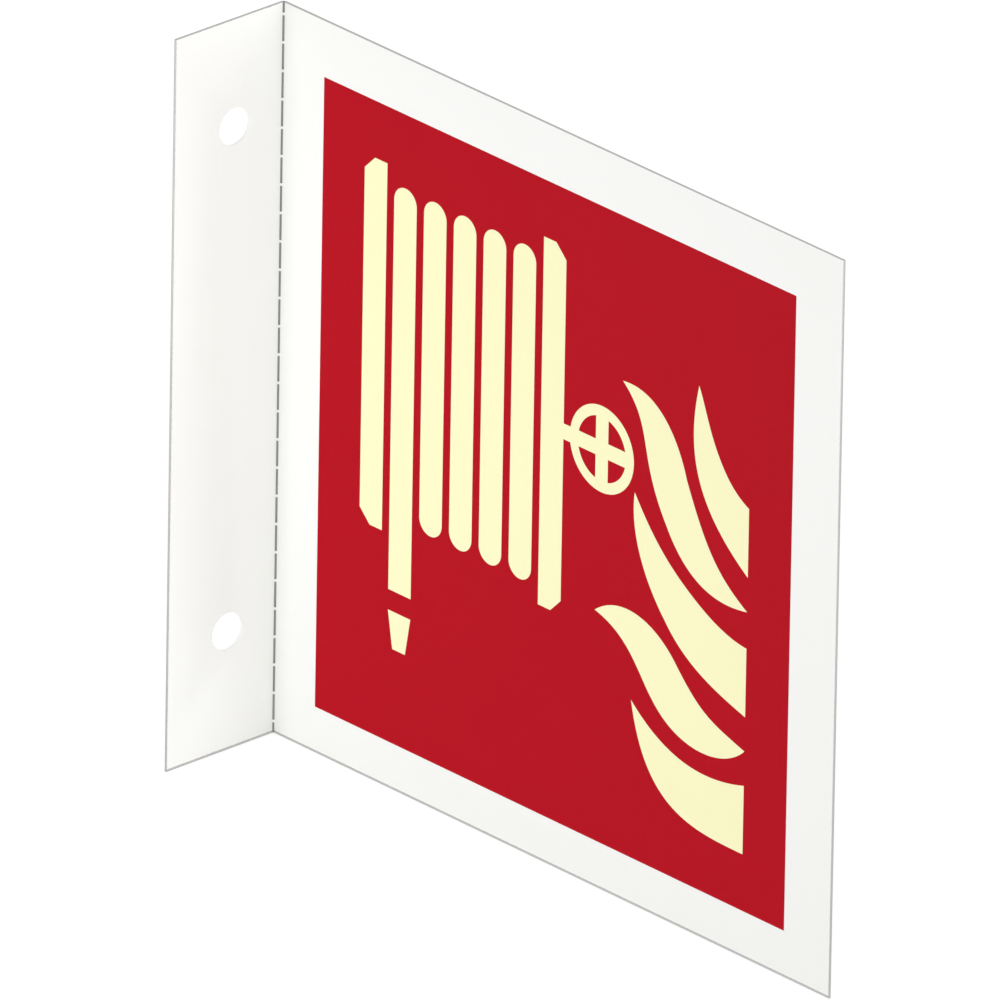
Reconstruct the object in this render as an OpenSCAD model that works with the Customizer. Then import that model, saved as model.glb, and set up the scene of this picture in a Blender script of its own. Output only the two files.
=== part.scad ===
// Projecting wall sign for a fire hose reel.
// One thin sheet is scored and folded square: a narrow flange is screwed to the wall
// and the panel stands out from it, printed on both faces.
// The origin is midway between the two screw holes, on the face that touches the wall.
// The wall is the plane y = 0, the panel stands out along -Y, and +Z is up.

/* [Sheet] */
// Thickness of the sheet
sheet_t = 0.5; // [0.4:0.1:1]
// Inside radius of the fold
bend_r = 0.4; // [0.3:0.1:1]
// Width of the wall flange, from the inside of the fold to its free edge
flange_w = 27; // [22:1:40]

/* [Fold score] */
// Distance from one bridge in the scored line to the next
score_pitch = 5.8; // [4:0.2:10]
// Length of the bridge left between two grooves
score_bridge = 0.55; // [0.3:0.05:1.2]
// Width of a groove
score_w = 0.4; // [0.2:0.05:0.5]
// Depth of a groove
score_depth = 0.2; // [0.1:0.05:0.3]

/* [Screw holes] */
// Diameter of a screw hole
hole_d = 7.5; // [4:0.5:9]
// Distance from the inside of the fold to the centres of the holes
hole_from_fold = 12; // [8:0.5:16]
// Distance between the centres of the holes
hole_spacing = 103.5; // [80:0.5:110]
// Distance from the top edge of the sheet to the centre of the upper hole
hole_from_top = 22; // [8:0.5:30]

/* [Printed field] */
// Thickness of the printed layer
print_t = 0.1; // [0.05:0.05:0.3]
// White border between the fold and the field
margin_fold = 11.5; // [4:0.5:20]
// White border between the field and the free edge of the panel
margin_free = 12.5; // [4:0.5:20]
// White border above the field
margin_top = 11.5; // [4:0.5:20]
// White border below the field
margin_bottom = 9.5; // [4:0.5:20]
// Red border between the edges of the field and the symbol
symbol_margin = 11.5; // [6:0.5:18]

/* [Hose reel symbol] */
// Width of each upright bar
bar_w = 6.2; // [5.4:0.1:7]
// Gap between two bars
bar_gap = 2; // [1.2:0.1:2.6]
// Number of hose windings between the tail and the right side of the reel
windings = 4; // [3:1:5]
// Height of the two reel sides
reel_h = 75; // [66:1:80]
// Size of the cut corners of the reel sides
side_chamfer = 2.8; // [1:0.1:4]
// How much shorter the windings are than the reel sides, at each end
winding_inset = 3.4; // [1:0.1:6]
// How far the hose tail hangs below the reel sides
tail_drop = 11.3; // [6:0.1:14]
// Gap between the tail and the nozzle
nozzle_gap = 4.2; // [2:0.1:6]
// Length of the nozzle
nozzle_l = 7.7; // [5:0.1:9]
// Width of the nozzle at its tip
nozzle_tip_w = 3.5; // [2:0.1:5]

/* [Hand wheel symbol] */
// Distance from the reel side to the centre of the hand wheel
wheel_reach = 10.5; // [9.5:0.1:12]
// Outer diameter of the hand wheel
wheel_d = 17.5; // [14:0.1:18.5]
// Width of the wheel's rim
rim_w = 2.2; // [1.4:0.1:3]
// Width of the wheel's upright spoke
upright_spoke_w = 3.4; // [2:0.1:4.5]
// Width of the stem and of the wheel's level spoke
stem_w = 3.2; // [2:0.1:4.5]

/* [Flames symbol] */
// Gap between the reel and the tip of the longest flame
flames_gap = 9.3; // [8:0.1:14]
// Width of the group of flames
flames_w = 41.3; // [36:0.1:46]
// Height of the group of flames
flames_h = 90.5; // [84:0.5:94]
// Number of straight steps in one curve of a flame
flame_steps = 12; // [8:1:20]

/* [Hidden] */
$fn = 48;

// Length that cutting shapes run past the faces they cut
overrun = 1;

// The square field is as wide as the symbol with its red border
bar_pitch = bar_w + bar_gap;
bars = windings + 3;
reel_w = bars * bar_pitch - bar_gap;
field_side = symbol_margin + reel_w + flames_gap + flames_w + symbol_margin;

// Outer sizes of the panel, its width from the inside of the fold
panel_w = margin_fold + field_side + margin_free;
sign_h = margin_top + field_side + margin_bottom;

// Heights, counted from the middle between the screw holes
sign_top = hole_spacing / 2 + hole_from_top;
sign_bottom = sign_top - sign_h;
sign_mid = sign_top - sign_h / 2;
field_bottom = sign_bottom + margin_bottom;

// The inside corner of the fold, where the two inner faces would meet
fold_x = hole_from_fold;
fold_y = -sheet_t;
bend_x = fold_x - bend_r;
bend_y = fold_y - bend_r;
bend_outer_r = bend_r + sheet_t;

// One bridge stands at each pitch, spread evenly about the middle of the height
bridges = round(sign_h / score_pitch);

// Heights in the symbol, counted from the bottom of the field
reel_top = field_side - symbol_margin;
reel_bottom = reel_top - reel_h;
reel_mid = reel_top - reel_h / 2;
winding_h = reel_h - 2 * winding_inset;
tail_top = reel_top - winding_inset;
tail_bottom = reel_bottom - tail_drop;
nozzle_top = tail_bottom - nozzle_gap;

// Places in the symbol, counted from the left edge of the field
reel_right = symbol_margin + reel_w;
wheel_x = reel_right + wheel_reach;
flames_left = reel_right + flames_gap;

// The flames are drawn on a grid that fits their width and height.
// Each stroke goes on from the end of the last one: two handles and an end make a curve,
// and an end alone makes a straight line. The last stroke closes the outline.
flame_grid = [100, 220];
top_flame = [
    [[70, 212], [73, 201], [79, 191]],
    [[84, 183], [89, 176], [100, 171]],
    [[100, 137]],
    [[68, 159], [57, 182], [66, 220]]
];
upper_leaf = [
    [[46, 209], [57, 177], [59, 171]],
    [[73, 140], [81, 131], [100, 120]],
    [[79, 116], [60, 121], [46, 144]],
    [[26, 174], [37, 188], [16, 205]]
];
middle_flame = [
    [[34, 140], [43, 129], [58, 119]],
    [[67, 113], [83, 103], [100, 102]],
    [[100, 68]],
    [[79, 74], [60, 80], [46, 97]],
    [[33, 111], [22, 132], [25, 153]]
];
lower_leaf = [
    [[16, 99], [38, 95], [53, 79]],
    [[71, 59], [77, 58], [100, 51]],
    [[86, 37], [60, 37], [44, 50]],
    [[29, 62], [26, 80], [0, 86]]
];
base_flame = [
    [[45, 32], [69, 25], [100, 34]],
    [[100, 0]],
    [[66, 0], [35, 0], [25, 50]]
];
flames = [top_flame, upper_leaf, middle_flame, lower_leaf, base_flame];

// A point on the cubic curve from a to d with the handles b and c
function curve_point(a, b, c, d, t) =
    a * pow(1 - t, 3)
    + b * 3 * t * pow(1 - t, 2)
    + c * 3 * t * t * (1 - t)
    + d * pow(t, 3);

function stroke_end(stroke) = stroke[len(stroke) - 1];

function stroke_points(from, stroke) =
    len(stroke) == 1
    ? stroke
    : [
        for (i = [1 : flame_steps])
            curve_point(from, stroke[0], stroke[1], stroke[2], i / flame_steps)
    ];

// All points of a closed outline, in millimetres from the flames' lower left corner
function flame_points(strokes) = [
    for (k = [0 : len(strokes) - 1])
        let (last = (k + len(strokes) - 1) % len(strokes))
        for (p = stroke_points(stroke_end(strokes[last]), strokes[k]))
            [p[0] / flame_grid[0] * flames_w, p[1] / flame_grid[1] * flames_h]
];

// A reel side, with its two outer corners cut; the cut corners are on the left
module reel_side() {
    polygon([
        [side_chamfer, 0],
        [bar_w, 0],
        [bar_w, reel_h],
        [side_chamfer, reel_h],
        [0, reel_h - side_chamfer],
        [0, side_chamfer]
    ]);
}

// One hose winding, with round ends
module winding() {
    r = bar_w / 2;
    translate([0, r])
        square([bar_w, winding_h - bar_w]);
    for (y = [r, winding_h - r])
        translate([r, y])
            circle(r = r);
}

// The end of the hose, round at the top and cut square at the bottom
module hose_tail() {
    r = bar_w / 2;
    square([bar_w, tail_top - tail_bottom - r]);
    translate([r, tail_top - tail_bottom - r])
        circle(r = r);
}

module nozzle() {
    taper = (bar_w - nozzle_tip_w) / 2;
    polygon([
        [taper, 0],
        [bar_w - taper, 0],
        [bar_w, nozzle_l],
        [0, nozzle_l]
    ]);
}

// The hand wheel with its two spokes, about its own centre
module hand_wheel() {
    inner_d = wheel_d - 2 * rim_w;
    spoke_l = inner_d + rim_w;
    difference() {
        circle(d = wheel_d);
        circle(d = inner_d);
    }
    square([upright_spoke_w, spoke_l], center = true);
    square([spoke_l, stem_w], center = true);
}

// The stem that joins the right reel side to the rim of the hand wheel
module wheel_stem() {
    translate([reel_right - bar_w / 2, reel_mid - stem_w / 2])
        square([bar_w / 2 + wheel_reach - wheel_d / 2 + rim_w / 2, stem_w]);
}

// The whole symbol, seen as it is read, from the lower left corner of the field
module symbol_outline() {
    translate([symbol_margin, reel_bottom])
        reel_side();
    translate([symbol_margin + bar_pitch, tail_bottom])
        hose_tail();
    translate([symbol_margin + bar_pitch, nozzle_top - nozzle_l])
        nozzle();
    for (i = [0 : windings - 1])
        translate([symbol_margin + (i + 2) * bar_pitch, reel_bottom + winding_inset])
            winding();
    translate([reel_right, reel_top])
        rotate(180)
            reel_side();
    wheel_stem();
    translate([wheel_x, reel_mid])
        hand_wheel();
    for (flame = flames)
        translate([flames_left, symbol_margin])
            polygon(flame_points(flame));
}

module field_outline() {
    difference() {
        square(field_side);
        symbol_outline();
    }
}

// Puts a printed layer on the face that looks towards -X, inside the fold
module on_front() {
    translate([fold_x, fold_y - margin_fold, field_bottom])
        rotate([90, 0, -90])
            linear_extrude(print_t)
                children();
}

// Puts a printed layer on the face that looks towards +X
module on_back() {
    translate([fold_x + sheet_t, fold_y - margin_fold - field_side, field_bottom])
        rotate([90, 0, 90])
            linear_extrude(print_t)
                children();
}

module wall_flange() {
    translate([fold_x - flange_w, -sheet_t, sign_bottom])
        cube([flange_w - bend_r, sheet_t, sign_h]);
}

module panel() {
    translate([fold_x, fold_y - panel_w, sign_bottom])
        cube([sheet_t, panel_w - bend_r, sign_h]);
}

module bend() {
    translate([bend_x, bend_y, sign_bottom])
        rotate_extrude(angle = 90)
            translate([bend_r, 0])
                square([sheet_t, sign_h]);
}

// The interrupted groove along the inside of the fold: a full line less its bridges
module score_grooves() {
    translate([bend_x, bend_y, sign_mid])
        rotate([0, 0, 45])
            difference() {
                translate([0, -score_w / 2, -sign_h / 2 - overrun])
                    cube([bend_r + score_depth, score_w, sign_h + 2 * overrun]);
                for (i = [0 : bridges - 1])
                    translate([0, 0, (i - (bridges - 1) / 2) * score_pitch])
                        cube([2 * bend_outer_r, 2 * score_w, score_bridge], center = true);
            }
}

module screw_holes() {
    for (z = [-hole_spacing / 2, hole_spacing / 2])
        translate([0, overrun, z])
            rotate([90, 0, 0])
                cylinder(h = sheet_t + 2 * overrun, d = hole_d);
}

module sheet() {
    color("white")
        difference() {
            union() {
                wall_flange();
                bend();
                panel();
            }
            score_grooves();
            screw_holes();
        }
}

module front_field() {
    color("firebrick")
        on_front()
            field_outline();
}

module front_symbol() {
    color("lemonchiffon")
        on_front()
            symbol_outline();
}

module back_field() {
    color("firebrick")
        on_back()
            field_outline();
}

module back_symbol() {
    color("lemonchiffon")
        on_back()
            symbol_outline();
}

sheet();
front_field();
front_symbol();
back_field();
back_symbol();
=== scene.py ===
import math

import bpy
from mathutils import Matrix, Vector


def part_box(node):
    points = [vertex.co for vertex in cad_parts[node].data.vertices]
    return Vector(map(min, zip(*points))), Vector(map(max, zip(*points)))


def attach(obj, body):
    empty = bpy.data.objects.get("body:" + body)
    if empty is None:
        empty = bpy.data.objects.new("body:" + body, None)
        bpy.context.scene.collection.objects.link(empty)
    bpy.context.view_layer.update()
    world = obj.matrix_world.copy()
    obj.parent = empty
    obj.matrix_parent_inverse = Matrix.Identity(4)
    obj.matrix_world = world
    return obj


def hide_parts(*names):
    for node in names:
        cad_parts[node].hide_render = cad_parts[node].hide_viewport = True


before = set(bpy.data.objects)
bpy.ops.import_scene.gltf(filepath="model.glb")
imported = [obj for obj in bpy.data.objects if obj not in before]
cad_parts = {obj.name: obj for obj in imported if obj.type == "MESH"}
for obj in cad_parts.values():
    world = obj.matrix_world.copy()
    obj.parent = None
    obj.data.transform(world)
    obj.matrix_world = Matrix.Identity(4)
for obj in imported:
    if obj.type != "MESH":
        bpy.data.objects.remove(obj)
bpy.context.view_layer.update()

MM = 0.001
UP = Vector((0, 0, 1))
RIGHT_ANGLE = math.radians(90)

# Sizes of the sheet, in metres
SHEET_T = 0.5 * MM
BEND_R = 0.4 * MM
SCORE_PITCH = 5.8 * MM
SCORE_BRIDGE = 0.55 * MM
SCORE_W = 0.4 * MM
SCORE_DEPTH = 0.2 * MM
HOLE_R = 3.75 * MM
HOLE_SPACING = 103.5 * MM
EDGE_ROUND = 0.13 * MM
HOLE_EDGE_ROUND = 0.1 * MM

# How far the white coat ends short of the edges of the sheet, where the bare metal shows. Along
# the foot the grey band is wider, as painted shade where the sheet meets the floor.
EDGE_BAND = 0.17 * MM
FOOT_BAND_BARE_AND_SHADE = 0.57 * MM

# Places of the sheet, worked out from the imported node
sheet_low, sheet_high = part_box("sheet")
FLANGE_END_X = sheet_low.x
FOLD_X = sheet_high.x - SHEET_T
FOLD_Y = sheet_high.y - SHEET_T
PANEL_END_Y = sheet_low.y
BOTTOM_Z = sheet_low.z
TOP_Z = sheet_high.z
MID_Z = (BOTTOM_Z + TOP_Z) / 2
HEIGHT = TOP_Z - BOTTOM_Z
BEND_X = FOLD_X - BEND_R
BEND_Y = FOLD_Y - BEND_R

# Sizes of the printed symbol, in metres
PRINT_T = 0.1 * MM
SYMBOL_MARGIN = 11.5 * MM
BAR_W = 6.2 * MM
BAR_PITCH = 8.2 * MM
WINDINGS = 4
REEL_H = 75 * MM
SIDE_CHAMFER = 2.8 * MM
WINDING_INSET = 3.4 * MM
TAIL_DROP = 11.3 * MM
NOZZLE_GAP = 4.2 * MM
NOZZLE_L = 7.7 * MM
NOZZLE_TIP_W = 3.5 * MM
WHEEL_REACH = 10.5 * MM
WHEEL_D = 17.5 * MM
RIM_W = 2.2 * MM
UPRIGHT_SPOKE_W = 3.4 * MM
STEM_W = 3.2 * MM
FLAMES_GAP = 9.3 * MM
FLAMES_W = 41.3 * MM
FLAMES_H = 90.5 * MM

# Steps that the round shapes are made of
BEND_STEPS = 8
EDGE_STEPS = 3
HOLE_STEPS = 96
HOLE_EDGE_STEPS = 2
ROUND_STEPS = 16
WHEEL_STEPS = 128
FLAME_STEPS = 32

# Edges of the sheet that turn by more than the first angle are rounded, and all that turn by
# less than the second are shaded smooth
ROUNDED_FROM = math.radians(40)
SMOOTH_UP_TO = math.radians(30)

# Places of the symbol, from the lower left corner of the red field
front_low, front_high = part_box("front_field")
back_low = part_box("back_field")[0]
FIELD_SIDE = front_high.z - front_low.z
REEL_TOP = FIELD_SIDE - SYMBOL_MARGIN
REEL_BOTTOM = REEL_TOP - REEL_H
REEL_MID = (REEL_TOP + REEL_BOTTOM) / 2
REEL_RIGHT = SYMBOL_MARGIN + (WINDINGS + 2) * BAR_PITCH + BAR_W
WINDING_H = REEL_H - 2 * WINDING_INSET
TAIL_TOP = REEL_TOP - WINDING_INSET
TAIL_BOTTOM = REEL_BOTTOM - TAIL_DROP
NOZZLE_TOP = TAIL_BOTTOM - NOZZLE_GAP
WHEEL_X = REEL_RIGHT + WHEEL_REACH
FLAMES_LEFT = REEL_RIGHT + FLAMES_GAP

# The flames, on a grid 100 wide and 220 high. A stroke goes on from where the one before it
# ends: [handle, handle, end] is a curve and [end] is a straight line. The last stroke closes
# the outline.
FLAME_GRID = (100, 220)
TOP_FLAME = [
    [(70, 212), (73, 201), (79, 191)],
    [(84, 183), (89, 176), (100, 171)],
    [(100, 137)],
    [(68, 159), (57, 182), (66, 220)],
]
UPPER_LEAF = [
    [(46, 209), (57, 177), (59, 171)],
    [(73, 140), (81, 131), (100, 120)],
    [(79, 116), (60, 121), (46, 144)],
    [(26, 174), (37, 188), (16, 205)],
]
MIDDLE_FLAME = [
    [(34, 140), (43, 129), (58, 119)],
    [(67, 113), (83, 103), (100, 102)],
    [(100, 68)],
    [(79, 74), (60, 80), (46, 97)],
    [(33, 111), (22, 132), (25, 153)],
]
LOWER_LEAF = [
    [(16, 99), (38, 95), (53, 79)],
    [(71, 59), (77, 58), (100, 51)],
    [(86, 37), (60, 37), (44, 50)],
    [(29, 62), (26, 80), (0, 86)],
]
BASE_FLAME = [
    [(45, 32), (69, 25), (100, 34)],
    [(100, 0)],
    [(66, 0), (35, 0), (25, 50)],
]

# How far a cutting tool runs past what it cuts, and what counts as the same place
OVERRUN = 1 * MM
CLOSE = 0.001 * MM
NEAR_RIM = 0.02 * MM


def deselect_all():
    if bpy.context.object and bpy.context.object.mode != "OBJECT":
        bpy.ops.object.mode_set(mode="OBJECT")
    bpy.ops.object.select_all(action="DESELECT")


def work_on(piece):
    deselect_all()
    piece.select_set(True)
    bpy.context.view_layer.objects.active = piece


def apply_transform():
    bpy.ops.object.transform_apply(location=True, rotation=True, scale=True)


def select_edges(piece, wanted):
    """Selects the edges whose two ends pass the test together, and stays in edit mode."""
    work_on(piece)
    bpy.ops.object.mode_set(mode="EDIT")
    bpy.ops.mesh.select_mode(type="EDGE")
    bpy.ops.mesh.select_all(action="DESELECT")
    bpy.ops.object.mode_set(mode="OBJECT")
    mesh = piece.data
    for edge in mesh.edges:
        a, b = (mesh.vertices[i].co for i in edge.vertices)
        edge.select = wanted(a, b)
    bpy.ops.object.mode_set(mode="EDIT")


def apply_modifier(piece, kind, **settings):
    work_on(piece)
    modifier = piece.modifiers.new(kind.title(), kind)
    for name, value in settings.items():
        setattr(modifier, name, value)
    bpy.ops.object.modifier_apply(modifier=modifier.name)


def cut_with(piece, tool):
    apply_modifier(piece, "BOOLEAN", object=tool, operation="DIFFERENCE", solver="EXACT",
                   material_mode="TRANSFER")
    bpy.data.objects.remove(tool)


def recalculate_normals(piece):
    """Merges points that fall together and turns every face outwards."""
    work_on(piece)
    bpy.ops.object.mode_set(mode="EDIT")
    bpy.ops.mesh.select_all(action="SELECT")
    bpy.ops.mesh.remove_doubles(threshold=CLOSE)
    bpy.ops.mesh.normals_make_consistent(inside=False)
    bpy.ops.object.mode_set(mode="OBJECT")


def join_pieces(pieces):
    deselect_all()
    for piece in pieces:
        piece.select_set(True)
    bpy.context.view_layer.objects.active = pieces[0]
    bpy.ops.object.join()
    return pieces[0]


def copy_of(piece):
    work_on(piece)
    bpy.ops.object.duplicate(linked=False)
    return bpy.context.object


def add_block(middle, size, turn=0):
    """A block by its middle and its sizes, turned about the upright axis."""
    deselect_all()
    bpy.ops.mesh.primitive_cube_add(size=1, location=middle, rotation=(0, 0, turn))
    block = bpy.context.object
    block.scale = size
    apply_transform()
    return block


def add_cylinder(middle, radius, depth, steps, tilt=0):
    """A cylinder by its middle, upright or tilted about the x axis."""
    deselect_all()
    bpy.ops.mesh.primitive_cylinder_add(vertices=steps, radius=radius, depth=depth,
                                        location=middle, rotation=(tilt, 0, 0))
    apply_transform()
    return bpy.context.object


def finish_piece(piece, name, replaced):
    piece.name = name
    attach(piece, "root")
    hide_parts(replaced)


# The sheet

def bent_strip():
    """The inner skin of the sheet: the flange, spun round the fold and drawn out as the panel."""
    deselect_all()
    length = BEND_X - FLANGE_END_X
    middle = (FLANGE_END_X + length / 2, FOLD_Y, MID_Z)
    bpy.ops.mesh.primitive_plane_add(size=1, location=middle, rotation=(RIGHT_ANGLE, 0, 0))
    strip = bpy.context.object
    strip.scale = (length, HEIGHT, 1)
    apply_transform()
    select_edges(strip, lambda a, b: min(a.x, b.x) > BEND_X - CLOSE)
    bpy.ops.mesh.spin(steps=BEND_STEPS, angle=RIGHT_ANGLE, center=(BEND_X, BEND_Y, MID_Z),
                      axis=UP)
    panel_length = BEND_Y - PANEL_END_Y
    bpy.ops.mesh.extrude_edges_move(TRANSFORM_OT_translate={"value": (0, -panel_length, 0)})
    bpy.ops.object.mode_set(mode="OBJECT")
    return strip


def face_skin_outwards(strip):
    """Turns the skin's faces towards the outside of the fold, so that its thickness goes there."""
    flange = min(strip.data.polygons, key=lambda face: face.center.x)
    if flange.normal.y < 0:
        work_on(strip)
        bpy.ops.object.mode_set(mode="EDIT")
        bpy.ops.mesh.select_all(action="SELECT")
        bpy.ops.mesh.flip_normals()
        bpy.ops.object.mode_set(mode="OBJECT")


def screw_hole_tool(z, material):
    tool = add_cylinder((0, FOLD_Y, z), HOLE_R, SHEET_T + 2 * OVERRUN, HOLE_STEPS,
                        tilt=RIGHT_ANGLE)
    tool.data.materials.append(material)
    return tool


def score_stretches():
    """The lower and upper end of each groove along the fold. The first and the last one run out
    of the sheet."""
    bridges = round(HEIGHT / SCORE_PITCH)
    first = MID_Z - (bridges - 1) / 2 * SCORE_PITCH
    ends = [BOTTOM_Z - OVERRUN]
    for i in range(bridges):
        middle = first + i * SCORE_PITCH
        ends += [middle - SCORE_BRIDGE / 2, middle + SCORE_BRIDGE / 2]
    ends.append(TOP_Z + OVERRUN)
    return list(zip(ends[0::2], ends[1::2]))


def score_tool(material):
    """One bar for each groove, on the line that halves the fold."""
    reach = BEND_R + SCORE_DEPTH
    half = RIGHT_ANGLE / 2
    middle = Vector((BEND_X, BEND_Y, 0)) + Vector((math.cos(half), math.sin(half), 0)) * reach / 2
    bars = []
    for low, high in score_stretches():
        bar = add_block((middle.x, middle.y, (low + high) / 2), (reach, SCORE_W, high - low),
                        turn=half)
        bar.data.materials.append(material)
        bars.append(bar)
    return join_pieces(bars)


def round_hole_rims(sheet):
    """A small rounding on both rims of both screw holes."""
    def on_rim(p):
        from_hole = math.hypot(p.x, abs(p.z) - HOLE_SPACING / 2)
        return abs(from_hole - HOLE_R) < NEAR_RIM and p.y > FOLD_Y - CLOSE

    def along_rim(a, b):
        return on_rim(a) and on_rim(b) and abs(a.y - b.y) < CLOSE

    select_edges(sheet, along_rim)
    bpy.ops.mesh.bevel(offset=HOLE_EDGE_ROUND, segments=HOLE_EDGE_STEPS)
    bpy.ops.object.mode_set(mode="OBJECT")


def make_sheet(coat, cut_metal, score_metal_painted_shade):
    """The skin gets its thickness and rounded cut edges, then the screw holes and the score."""
    sheet = bent_strip()
    sheet.data.materials.append(coat)
    sheet.data.materials.append(cut_metal)
    cut_slot = 1
    face_skin_outwards(sheet)
    apply_modifier(sheet, "SOLIDIFY", thickness=SHEET_T, offset=1, use_even_offset=True,
                   material_offset_rim=cut_slot)
    apply_modifier(sheet, "BEVEL", width=EDGE_ROUND, segments=EDGE_STEPS, limit_method="ANGLE",
                   angle_limit=ROUNDED_FROM, material=cut_slot)
    for z in (-HOLE_SPACING / 2, HOLE_SPACING / 2):
        cut_with(sheet, screw_hole_tool(z, coat))
    round_hole_rims(sheet)
    # The grooves take the darker metal, which is painted shade
    cut_with(sheet, score_tool(score_metal_painted_shade))
    recalculate_normals(sheet)
    bpy.ops.object.shade_smooth_by_angle(angle=SMOOTH_UP_TO)
    finish_piece(sheet, "folded_sheet", "sheet")


# The print, modelled flat on its back: x to the right, y up, and z out of the printed face

def flat_bar(x, y, width, height):
    """A bar of print, by its lower left corner."""
    return add_block((x + width / 2, y + height / 2, PRINT_T / 2), (width, height, PRINT_T))


def shape_corners(bar, wanted, size, steps):
    """Cuts the wanted corners of a bar at a slant, or rounds them if there are more steps."""
    select_edges(bar, lambda a, b: abs(a.z - b.z) > CLOSE and wanted(a))
    bpy.ops.mesh.bevel(offset=size, segments=steps, clamp_overlap=False)
    recalculate_normals(bar)


def reel_side(x, cut_on_left):
    """A side of the reel, with its two outer corners cut at a slant."""
    side = flat_bar(x, REEL_BOTTOM, BAR_W, REEL_H)
    middle = x + BAR_W / 2
    shape_corners(side, lambda p: (p.x < middle) == cut_on_left, SIDE_CHAMFER, steps=1)
    return side


def winding(x):
    turn = flat_bar(x, REEL_BOTTOM + WINDING_INSET, BAR_W, WINDING_H)
    shape_corners(turn, lambda p: True, BAR_W / 2, ROUND_STEPS)
    return turn


def hose_tail(x):
    tail = flat_bar(x, TAIL_BOTTOM, BAR_W, TAIL_TOP - TAIL_BOTTOM)
    shape_corners(tail, lambda p: p.y > REEL_MID, BAR_W / 2, ROUND_STEPS)
    return tail


def nozzle(x):
    """A bar whose lower end is drawn together to the width of the tip."""
    tip_y = NOZZLE_TOP - NOZZLE_L
    body = flat_bar(x, tip_y, BAR_W, NOZZLE_L)
    select_edges(body, lambda a, b: max(a.y, b.y) < tip_y + CLOSE)
    bpy.ops.transform.resize(value=(NOZZLE_TIP_W / BAR_W, 1, 1),
                             center_override=(x + BAR_W / 2, tip_y, PRINT_T / 2))
    bpy.ops.object.mode_set(mode="OBJECT")
    return body


def wheel_rim():
    """A disc, opened into a ring: both faces are inset by the rim's width and joined through."""
    rim = add_cylinder((WHEEL_X, REEL_MID, PRINT_T / 2), WHEEL_D / 2, PRINT_T, WHEEL_STEPS)
    bpy.ops.object.mode_set(mode="EDIT")
    bpy.ops.mesh.select_mode(type="FACE")
    bpy.ops.mesh.select_all(action="DESELECT")
    bpy.ops.object.mode_set(mode="OBJECT")
    for face in rim.data.polygons:
        face.select = abs(face.normal.z) > 0.5
    bpy.ops.object.mode_set(mode="EDIT")
    bpy.ops.mesh.inset(thickness=RIM_W, use_individual=True)
    bpy.ops.mesh.bridge_edge_loops()
    bpy.ops.object.mode_set(mode="OBJECT")
    recalculate_normals(rim)
    return rim


def reel_side_with_wheel():
    """The right reel side and the hand wheel. The stem between them runs on as the level spoke."""
    side = reel_side(REEL_RIGHT - BAR_W, cut_on_left=False)
    spoke = WHEEL_D - RIM_W
    upright = flat_bar(WHEEL_X - UPRIGHT_SPOKE_W / 2, REEL_MID - spoke / 2,
                       UPRIGHT_SPOKE_W, spoke)
    stem_x = REEL_RIGHT - BAR_W / 2
    stem = flat_bar(stem_x, REEL_MID - STEM_W / 2, WHEEL_X + spoke / 2 - stem_x, STEM_W)
    for part in (wheel_rim(), upright, stem):
        apply_modifier(side, "BOOLEAN", object=part, operation="UNION", solver="EXACT")
        bpy.data.objects.remove(part)
    return side


def flame(strokes):
    """A closed outline of curves and straight lines, filled and given the print's thickness."""
    deselect_all()
    bpy.ops.curve.primitive_bezier_curve_add(location=(0, 0, 0))
    outline = bpy.context.object
    curve = outline.data
    curve.dimensions = "2D"
    curve.fill_mode = "BOTH"
    curve.resolution_u = FLAME_STEPS
    curve.extrude = PRINT_T / 2
    spline = curve.splines[0]
    spline.use_cyclic_u = True
    spline.bezier_points.add(len(strokes) - len(spline.bezier_points))

    def place(point):
        x, y = point
        return Vector((x / FLAME_GRID[0] * FLAMES_W, y / FLAME_GRID[1] * FLAMES_H, 0))

    count = len(strokes)
    for i, point in enumerate(spline.bezier_points):
        arriving, leaving = strokes[i], strokes[(i + 1) % count]
        point.handle_left_type = "FREE" if len(arriving) == 3 else "VECTOR"
        point.handle_right_type = "FREE" if len(leaving) == 3 else "VECTOR"
        point.co = place(arriving[-1])
        if len(arriving) == 3:
            point.handle_left = place(arriving[1])
        if len(leaving) == 3:
            point.handle_right = place(leaving[0])
    bpy.ops.object.convert(target="MESH")
    outline.location = (FLAMES_LEFT, SYMBOL_MARGIN, PRINT_T / 2)
    apply_transform()
    recalculate_normals(outline)
    return outline


def make_symbol():
    """The whole cream symbol. The windings are copies of the first one."""
    tail_x = SYMBOL_MARGIN + BAR_PITCH
    parts = [reel_side(SYMBOL_MARGIN, cut_on_left=True), hose_tail(tail_x), nozzle(tail_x)]
    first = winding(tail_x + BAR_PITCH)
    parts.append(first)
    for i in range(1, WINDINGS):
        turn = copy_of(first)
        turn.location.x += i * BAR_PITCH
        apply_transform()
        parts.append(turn)
    parts.append(reel_side_with_wheel())
    for strokes in (TOP_FLAME, UPPER_LEAF, MIDDLE_FLAME, LOWER_LEAF, BASE_FLAME):
        parts.append(flame(strokes))
    return join_pieces(parts)


def make_field(symbol):
    """The red square, with the symbol stamped out of it."""
    field = flat_bar(0, 0, FIELD_SIDE, FIELD_SIDE)
    stamp = copy_of(symbol)
    # The stamp is three prints thick and goes one past the field on each side
    stamp.location.z -= PRINT_T
    stamp.scale.z = 3
    apply_transform()
    apply_modifier(field, "BOOLEAN", object=stamp, operation="DIFFERENCE", solver="EXACT")
    bpy.data.objects.remove(stamp)
    return field


def lay_on_face(print_piece, corner, turn, ink, name, replaced):
    """Turns a flat print upright and lays it on a face of the panel."""
    work_on(print_piece)
    print_piece.location = corner
    print_piece.rotation_euler = (RIGHT_ANGLE, 0, turn)
    apply_transform()
    print_piece.data.materials.clear()
    print_piece.data.materials.append(ink)
    finish_piece(print_piece, name, replaced)
    # The print throws no colour on the white flange
    print_piece.visible_diffuse = False


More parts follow.
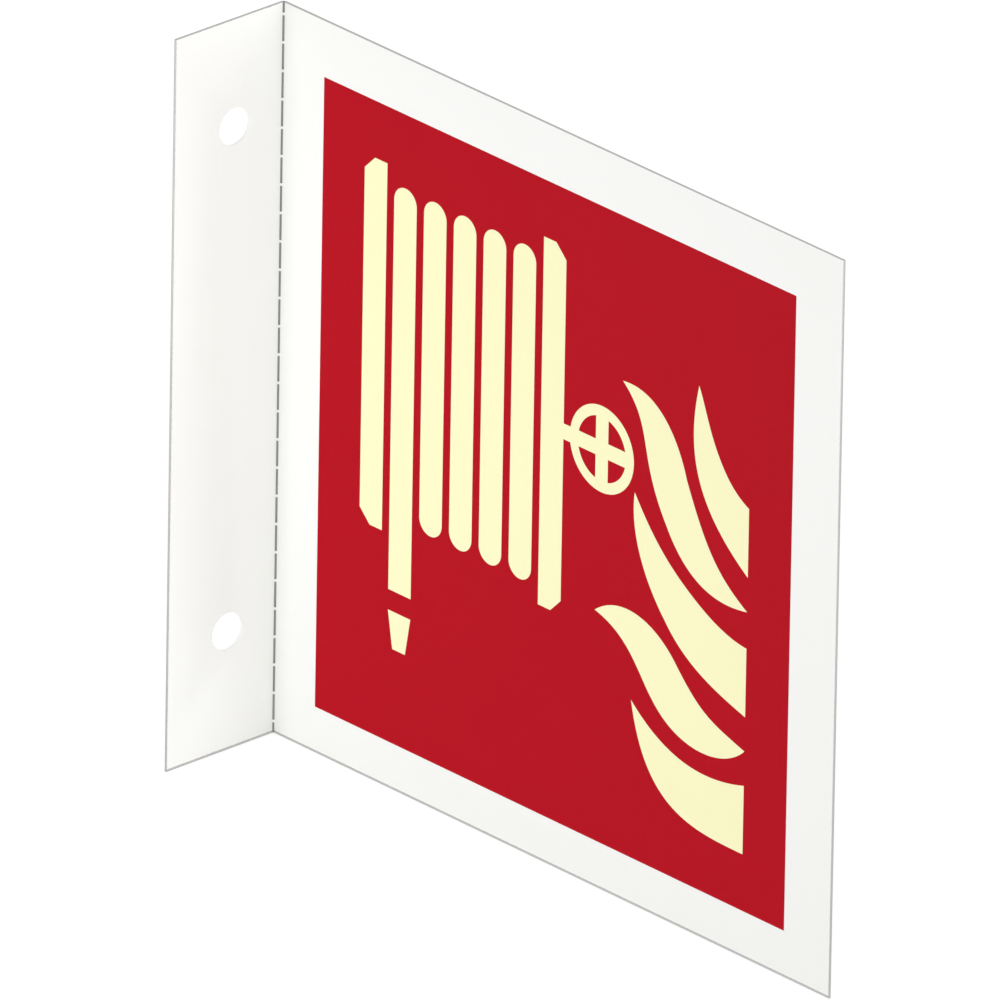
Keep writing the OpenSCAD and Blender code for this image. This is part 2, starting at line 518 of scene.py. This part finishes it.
def make_prints(red, cream):
    symbol = make_symbol()
    field = make_field(symbol)
    faces = (("front", Vector((front_high.x, front_high.y, front_low.z)), -RIGHT_ANGLE),
             ("back", back_low, RIGHT_ANGLE))
    for side, corner, turn in faces:
        lay_on_face(copy_of(field), corner, turn, red, side + "_red_print", side + "_field")
        lay_on_face(copy_of(symbol), corner, turn, cream, side + "_cream_print",
                    side + "_symbol")
    bpy.data.objects.remove(field)
    bpy.data.objects.remove(symbol)


# Materials. The scales of the noise are counted per metre.
COAT_DRIFT = 60.0
COAT_SPECKS = 5000.0
GRAIN_SCALE = 1800.0
GRAIN_DEPTH = 0.004 * MM
METAL_DRIFT = 300.0
METAL_SPECKS = 6000.0
METAL_SPECK_SHARE = 0.7
METAL_ROUGH = (0.45, 0.65)
TOOL_MARK_DEPTH = 0.01 * MM
BUMP_STRENGTH = 0.5
CHIP_SCALE = 2500.0

# Kinds of value that a node group takes in or gives out
COLOUR = "NodeSocketColor"
NUMBER = "NodeSocketFloat"


def linear(red, green, blue):
    """A colour given as 0 to 255 on a screen, as the shader wants it."""
    def one(value):
        v = value / 255
        return v / 12.92 if v <= 0.04045 else ((v + 0.055) / 1.055) ** 2.4

    return (one(red), one(green), one(blue), 1)


def feed(tree, socket, value):
    """Gives a socket a fixed value, or links another node's output to it."""
    if isinstance(value, bpy.types.NodeSocket):
        tree.links.new(value, socket)
    else:
        socket.default_value = value


def add_noise(tree, scale, detail):
    """Noise that stays fixed to the piece."""
    place = tree.nodes.new("ShaderNodeTexCoord")
    noise = tree.nodes.new("ShaderNodeTexNoise")
    feed(tree, noise.inputs["Vector"], place.outputs["Object"])
    feed(tree, noise.inputs["Scale"], scale)
    feed(tree, noise.inputs["Detail"], detail)
    return noise.outputs["Fac"]


def add_mix(tree, kind, factor, a, b):
    mix = tree.nodes.new("ShaderNodeMix")
    mix.data_type = kind
    for socket, value in (("Factor", factor), ("A", a), ("B", b)):
        feed(tree, mix.inputs[socket], value)
    return mix.outputs["Result"]


def add_math(tree, operation, a, b):
    node = tree.nodes.new("ShaderNodeMath")
    node.operation = operation
    for socket, value in zip(node.inputs, (a, b)):
        feed(tree, socket, value)
    return node.outputs["Value"]


def new_group(name, taken, given):
    """An empty node group, with the names and kinds of what it takes in and gives out."""
    group = bpy.data.node_groups.new(name, "ShaderNodeTree")
    for in_out, sockets in (("INPUT", taken), ("OUTPUT", given)):
        for socket, kind in sockets:
            group.interface.new_socket(socket, in_out=in_out, socket_type=kind)
    return group, group.nodes.new("NodeGroupInput"), group.nodes.new("NodeGroupOutput")


def tone_group():
    """Mottle: a colour that drifts a little between two tones, with finer specks on top."""
    group, inside, outside = new_group(
        "fine_mottle",
        taken=(("Tone A", COLOUR), ("Tone B", COLOUR), ("Drift Scale", NUMBER),
               ("Speck Scale", NUMBER), ("Speck Share", NUMBER)),
        given=(("Color", COLOUR), ("Factor", NUMBER)))
    drift = add_noise(group, inside.outputs["Drift Scale"], detail=2)
    specks = add_noise(group, inside.outputs["Speck Scale"], detail=1)
    factor = add_mix(group, "FLOAT", inside.outputs["Speck Share"], drift, specks)
    colour = add_mix(group, "RGBA", factor, inside.outputs["Tone A"], inside.outputs["Tone B"])
    feed(group, outside.inputs["Color"], colour)
    feed(group, outside.inputs["Factor"], factor)
    return group


def edge_band_and_foot_shade_group():
    """1 in a narrow ragged band along the outline of the sheet, wider along its foot, and 0
    inside it. The wider part along the foot is painted shade where the sheet meets the floor."""
    group, inside, outside = new_group("edge_band_and_foot_shade",
                                       taken=(("Width", NUMBER), ("Raggedness", NUMBER)),
                                       given=(("Mask", NUMBER),))
    place = group.nodes.new("ShaderNodeTexCoord")
    apart = group.nodes.new("ShaderNodeSeparateXYZ")
    feed(group, apart.inputs["Vector"], place.outputs["Object"])
    x, y, z = (apart.outputs[axis] for axis in "XYZ")
    painted_foot_shade = FOOT_BAND_BARE_AND_SHADE - EDGE_BAND
    # Painted shade: along the foot the band reaches this much further up, where the sheet meets
    # the floor
    from_bottom = add_math(group, "SUBTRACT", z, BOTTOM_Z + painted_foot_shade)
    from_top = add_math(group, "SUBTRACT", TOP_Z, z)
    from_flange_end = add_math(group, "SUBTRACT", x, FLANGE_END_X)
    from_panel_end = add_math(group, "SUBTRACT", y, PANEL_END_Y)
    nearest = add_math(group, "MINIMUM",
                       add_math(group, "MINIMUM", from_bottom, from_top),
                       add_math(group, "MINIMUM", from_flange_end, from_panel_end))
    chips = add_noise(group, CHIP_SCALE, detail=2)
    off_centre = add_math(group, "SUBTRACT", chips, 0.5)
    wander = add_math(group, "MULTIPLY", off_centre, inside.outputs["Raggedness"])
    limit = add_math(group, "ADD", inside.outputs["Width"], wander)
    feed(group, outside.inputs["Mask"], add_math(group, "LESS_THAN", nearest, limit))
    return group


def place_group(tree, group, **values):
    node = tree.nodes.new("ShaderNodeGroup")
    node.node_tree = group
    for socket, value in values.items():
        node.inputs[socket.replace("_", " ")].default_value = value
    return node


def new_material(name):
    material = bpy.data.materials.new(name)
    material.use_nodes = True
    tree = material.node_tree
    return material, tree, tree.nodes["Principled BSDF"]


def add_bump(tree, shader, height, depth):
    bump = tree.nodes.new("ShaderNodeBump")
    bump.inputs["Distance"].default_value = depth
    bump.inputs["Strength"].default_value = BUMP_STRENGTH
    feed(tree, bump.inputs["Height"], height)
    feed(tree, shader.inputs["Normal"], bump.outputs["Normal"])


def vary_roughness(tree, shader, factor, low, high):
    spread = tree.nodes.new("ShaderNodeMapRange")
    spread.inputs["To Min"].default_value = low
    spread.inputs["To Max"].default_value = high
    feed(tree, spread.inputs["Value"], factor)
    feed(tree, shader.inputs["Roughness"], spread.outputs["Result"])


def satin_finish(name, group, tones, speck_share, gloss, rough):
    """A satin finish with a drifting tone, fine specks and a faint grain."""
    material, tree, shader = new_material(name)
    shader.inputs["Specular IOR Level"].default_value = gloss
    mottle = place_group(tree, group, Tone_A=tones[0], Tone_B=tones[1], Drift_Scale=COAT_DRIFT,
                         Speck_Scale=COAT_SPECKS, Speck_Share=speck_share)
    feed(tree, shader.inputs["Base Color"], mottle.outputs["Color"])
    vary_roughness(tree, shader, mottle.outputs["Factor"], *rough)
    add_bump(tree, shader, add_noise(tree, GRAIN_SCALE, detail=2), GRAIN_DEPTH)
    return material


def bare_edges_and_foot_shade(material, band_group, bare_and_shade_tone):
    """Lets a coat end a hair short of the edges of the sheet, where the bare metal shows, and
    further short along its foot, as painted shade where the sheet meets the floor.
    """
    tree = material.node_tree
    shader = tree.nodes["Principled BSDF"]
    coat_tone = shader.inputs["Base Color"].links[0].from_socket
    # The mask is bare metal along the edges and painted shade along the foot; both take the grey
    # tone and are metallic
    bare_edge_and_foot_shade = place_group(tree, band_group, Width=EDGE_BAND, Raggedness=EDGE_BAND).outputs["Mask"]
    tone = add_mix(tree, "RGBA", bare_edge_and_foot_shade, coat_tone, bare_and_shade_tone)
    feed(tree, shader.inputs["Base Color"], tone)
    feed(tree, shader.inputs["Metallic"], bare_edge_and_foot_shade)


def bare_metal(name, group, tones):
    """Bare aluminium where the sheet was cut or scored: dull grey, with fine tool marks."""
    material, tree, shader = new_material(name)
    shader.inputs["Metallic"].default_value = 1
    mottle = place_group(tree, group, Tone_A=tones[0], Tone_B=tones[1], Drift_Scale=METAL_DRIFT,
                         Speck_Scale=METAL_SPECKS, Speck_Share=METAL_SPECK_SHARE)
    feed(tree, shader.inputs["Base Color"], mottle.outputs["Color"])
    vary_roughness(tree, shader, mottle.outputs["Factor"], *METAL_ROUGH)
    add_bump(tree, shader, mottle.outputs["Factor"], TOOL_MARK_DEPTH)
    return material


# Stage and lights. The floor and the world are white to the eye, and light the part by less.
FLOOR_SIZE = 60
FLOOR_PALE = 0.88
FLOOR_SEEN = 0.42
FLOOR_GLOW = 0.68
WORLD_SOFT = 0.755
WORLD_WHITE = 1
STRIP_W = 0.1
STRIP_H = 0.08


def seen_directly(tree):
    """1 for the rays that show a surface to the eye, straight or by way of gloss and glass."""
    path = tree.nodes.new("ShaderNodeLightPath")
    either = add_math(tree, "MAXIMUM", path.outputs["Is Camera Ray"],
                      path.outputs["Is Glossy Ray"])
    return add_math(tree, "MAXIMUM", either, path.outputs["Is Transmission Ray"])


def choose_by_ray(tree, unseen, seen, out):
    """Shows one shader to the eye and lets the other one light the part."""
    choice = tree.nodes.new("ShaderNodeMixShader")
    for socket, value in zip(choice.inputs, (seen_directly(tree), unseen, seen)):
        feed(tree, socket, value)
    feed(tree, out.inputs["Surface"], choice.outputs["Shader"])


def diffuse(tree, grey):
    shader = tree.nodes.new("ShaderNodeBsdfDiffuse")
    shader.inputs["Color"].default_value = (grey, grey, grey, 1)
    return shader.outputs["BSDF"]


def background(tree, strength):
    shader = tree.nodes.new("ShaderNodeBackground")
    shader.inputs["Color"].default_value = (1, 1, 1, 1)
    shader.inputs["Strength"].default_value = strength
    return shader.outputs["Background"]


def make_floor():
    """To the eye the floor is white where light reaches it, and keeps the part's shadow."""
    deselect_all()
    bpy.ops.mesh.primitive_plane_add(size=FLOOR_SIZE, location=(0, 0, BOTTOM_Z))
    floor = bpy.context.object
    floor.name = "floor"
    material = bpy.data.materials.new("pale_floor")
    material.use_nodes = True
    tree = material.node_tree
    tree.nodes.clear()
    glow = tree.nodes.new("ShaderNodeEmission")
    glow.inputs["Strength"].default_value = FLOOR_GLOW
    white = tree.nodes.new("ShaderNodeAddShader")
    feed(tree, white.inputs[0], diffuse(tree, FLOOR_SEEN))
    feed(tree, white.inputs[1], glow.outputs["Emission"])
    choose_by_ray(tree, diffuse(tree, FLOOR_PALE), white.outputs["Shader"],
                  tree.nodes.new("ShaderNodeOutputMaterial"))
    floor.data.materials.append(material)


def make_world():
    world = bpy.data.worlds.new("studio")
    bpy.context.scene.world = world
    world.use_nodes = True
    tree = world.node_tree
    tree.nodes.clear()
    choose_by_ray(tree, background(tree, WORLD_SOFT), background(tree, WORLD_WHITE),
                  tree.nodes.new("ShaderNodeOutputWorld"))


def hang_lamp(light, comes_from):
    """A lamp whose light comes from the given direction."""
    lamp = bpy.data.objects.new(light.name, light)
    bpy.context.scene.collection.objects.link(lamp)
    lamp.rotation_mode = "QUATERNION"
    lamp.rotation_quaternion = Vector(comes_from).to_track_quat("Z", "Y")
    return lamp


def add_sun(name, comes_from, strength, spread):
    light = bpy.data.lights.new(name, "SUN")
    light.energy = strength
    light.angle = math.radians(spread)
    hang_lamp(light, comes_from)


def add_strip(name, place, comes_from, power):
    """A small strip lamp close by, so that its light falls off along the panel."""
    light = bpy.data.lights.new(name, "AREA")
    light.shape = "RECTANGLE"
    light.size = STRIP_W
    light.size_y = STRIP_H
    light.energy = power
    hang_lamp(light, comes_from).location = place


# The camera looks down on the inside of the fold
AZIMUTH = -42.85
ELEVATION = 24.75
ROLL = 0.965
DISTANCE = 8.28
LENS = 1600.0
SENSOR = 36.0
VIEW_CENTRE = Vector((0.03109, -0.04124, -0.01974))


def make_camera():
    a, e = math.radians(AZIMUTH), math.radians(ELEVATION)
    back = Vector((math.sin(a) * math.cos(e), -math.cos(a) * math.cos(e), math.sin(e)))
    data = bpy.data.cameras.new("camera")
    data.lens = LENS
    data.sensor_width = SENSOR
    data.clip_start = DISTANCE / 2
    data.clip_end = DISTANCE * 2
    camera = bpy.data.objects.new("camera", data)
    bpy.context.scene.collection.objects.link(camera)
    turn = (back.to_track_quat("Z", "Y").to_matrix()
            @ Matrix.Rotation(math.radians(ROLL), 3, "Z"))
    camera.matrix_world = Matrix.Translation(VIEW_CENTRE + back * DISTANCE) @ turn.to_4x4()
    bpy.context.scene.camera = camera


mottle = tone_group()
cut_metal = bare_metal("cut_edge_metal", mottle,
                       tones=(linear(174, 174, 173), linear(192, 192, 190)))
# The score grooves take a darker grey than the cut edges of the same metal: painted shade in the
# grooves
score_metal_painted_shade = bare_metal("score_metal_painted_shade", mottle,
                          tones=(linear(144, 144, 143), linear(161, 161, 159)))
white_coat = satin_finish("white_coat", mottle,
                          tones=(linear(246, 246, 243), linear(248, 248, 246)),
                          speck_share=0.3, gloss=0.25, rough=(0.42, 0.5))
# The grey band along the foot of the coat is painted shade where the sheet meets the floor
bare_edges_and_foot_shade(white_coat, edge_band_and_foot_shade_group(), bare_and_shade_tone=linear(188, 188, 186))
red_ink = satin_finish("red_ink", mottle,
                       tones=(linear(179, 2, 24), linear(183, 4, 27)),
                       speck_share=0.3, gloss=0.055, rough=(0.42, 0.5))
cream_ink = satin_finish("cream_ink", mottle,
                         tones=(linear(250, 246, 198), linear(253, 250, 203)),
                         speck_share=0.5, gloss=0.2, rough=(0.45, 0.55))

make_sheet(white_coat, cut_metal, score_metal_painted_shade)
make_prints(red_ink, cream_ink)

make_floor()
make_world()
add_sun("key", comes_from=(-0.68, -0.73, 0.7), strength=0.24, spread=50)
add_sun("front", comes_from=(0.05, -1.0, 0.08), strength=0.86, spread=14)
add_strip("side", place=(-0.33, 0.0, -0.03), comes_from=(-1, 0, 0), power=0.26)
make_camera()

bpy.context.scene.view_settings.view_transform = "Standard"
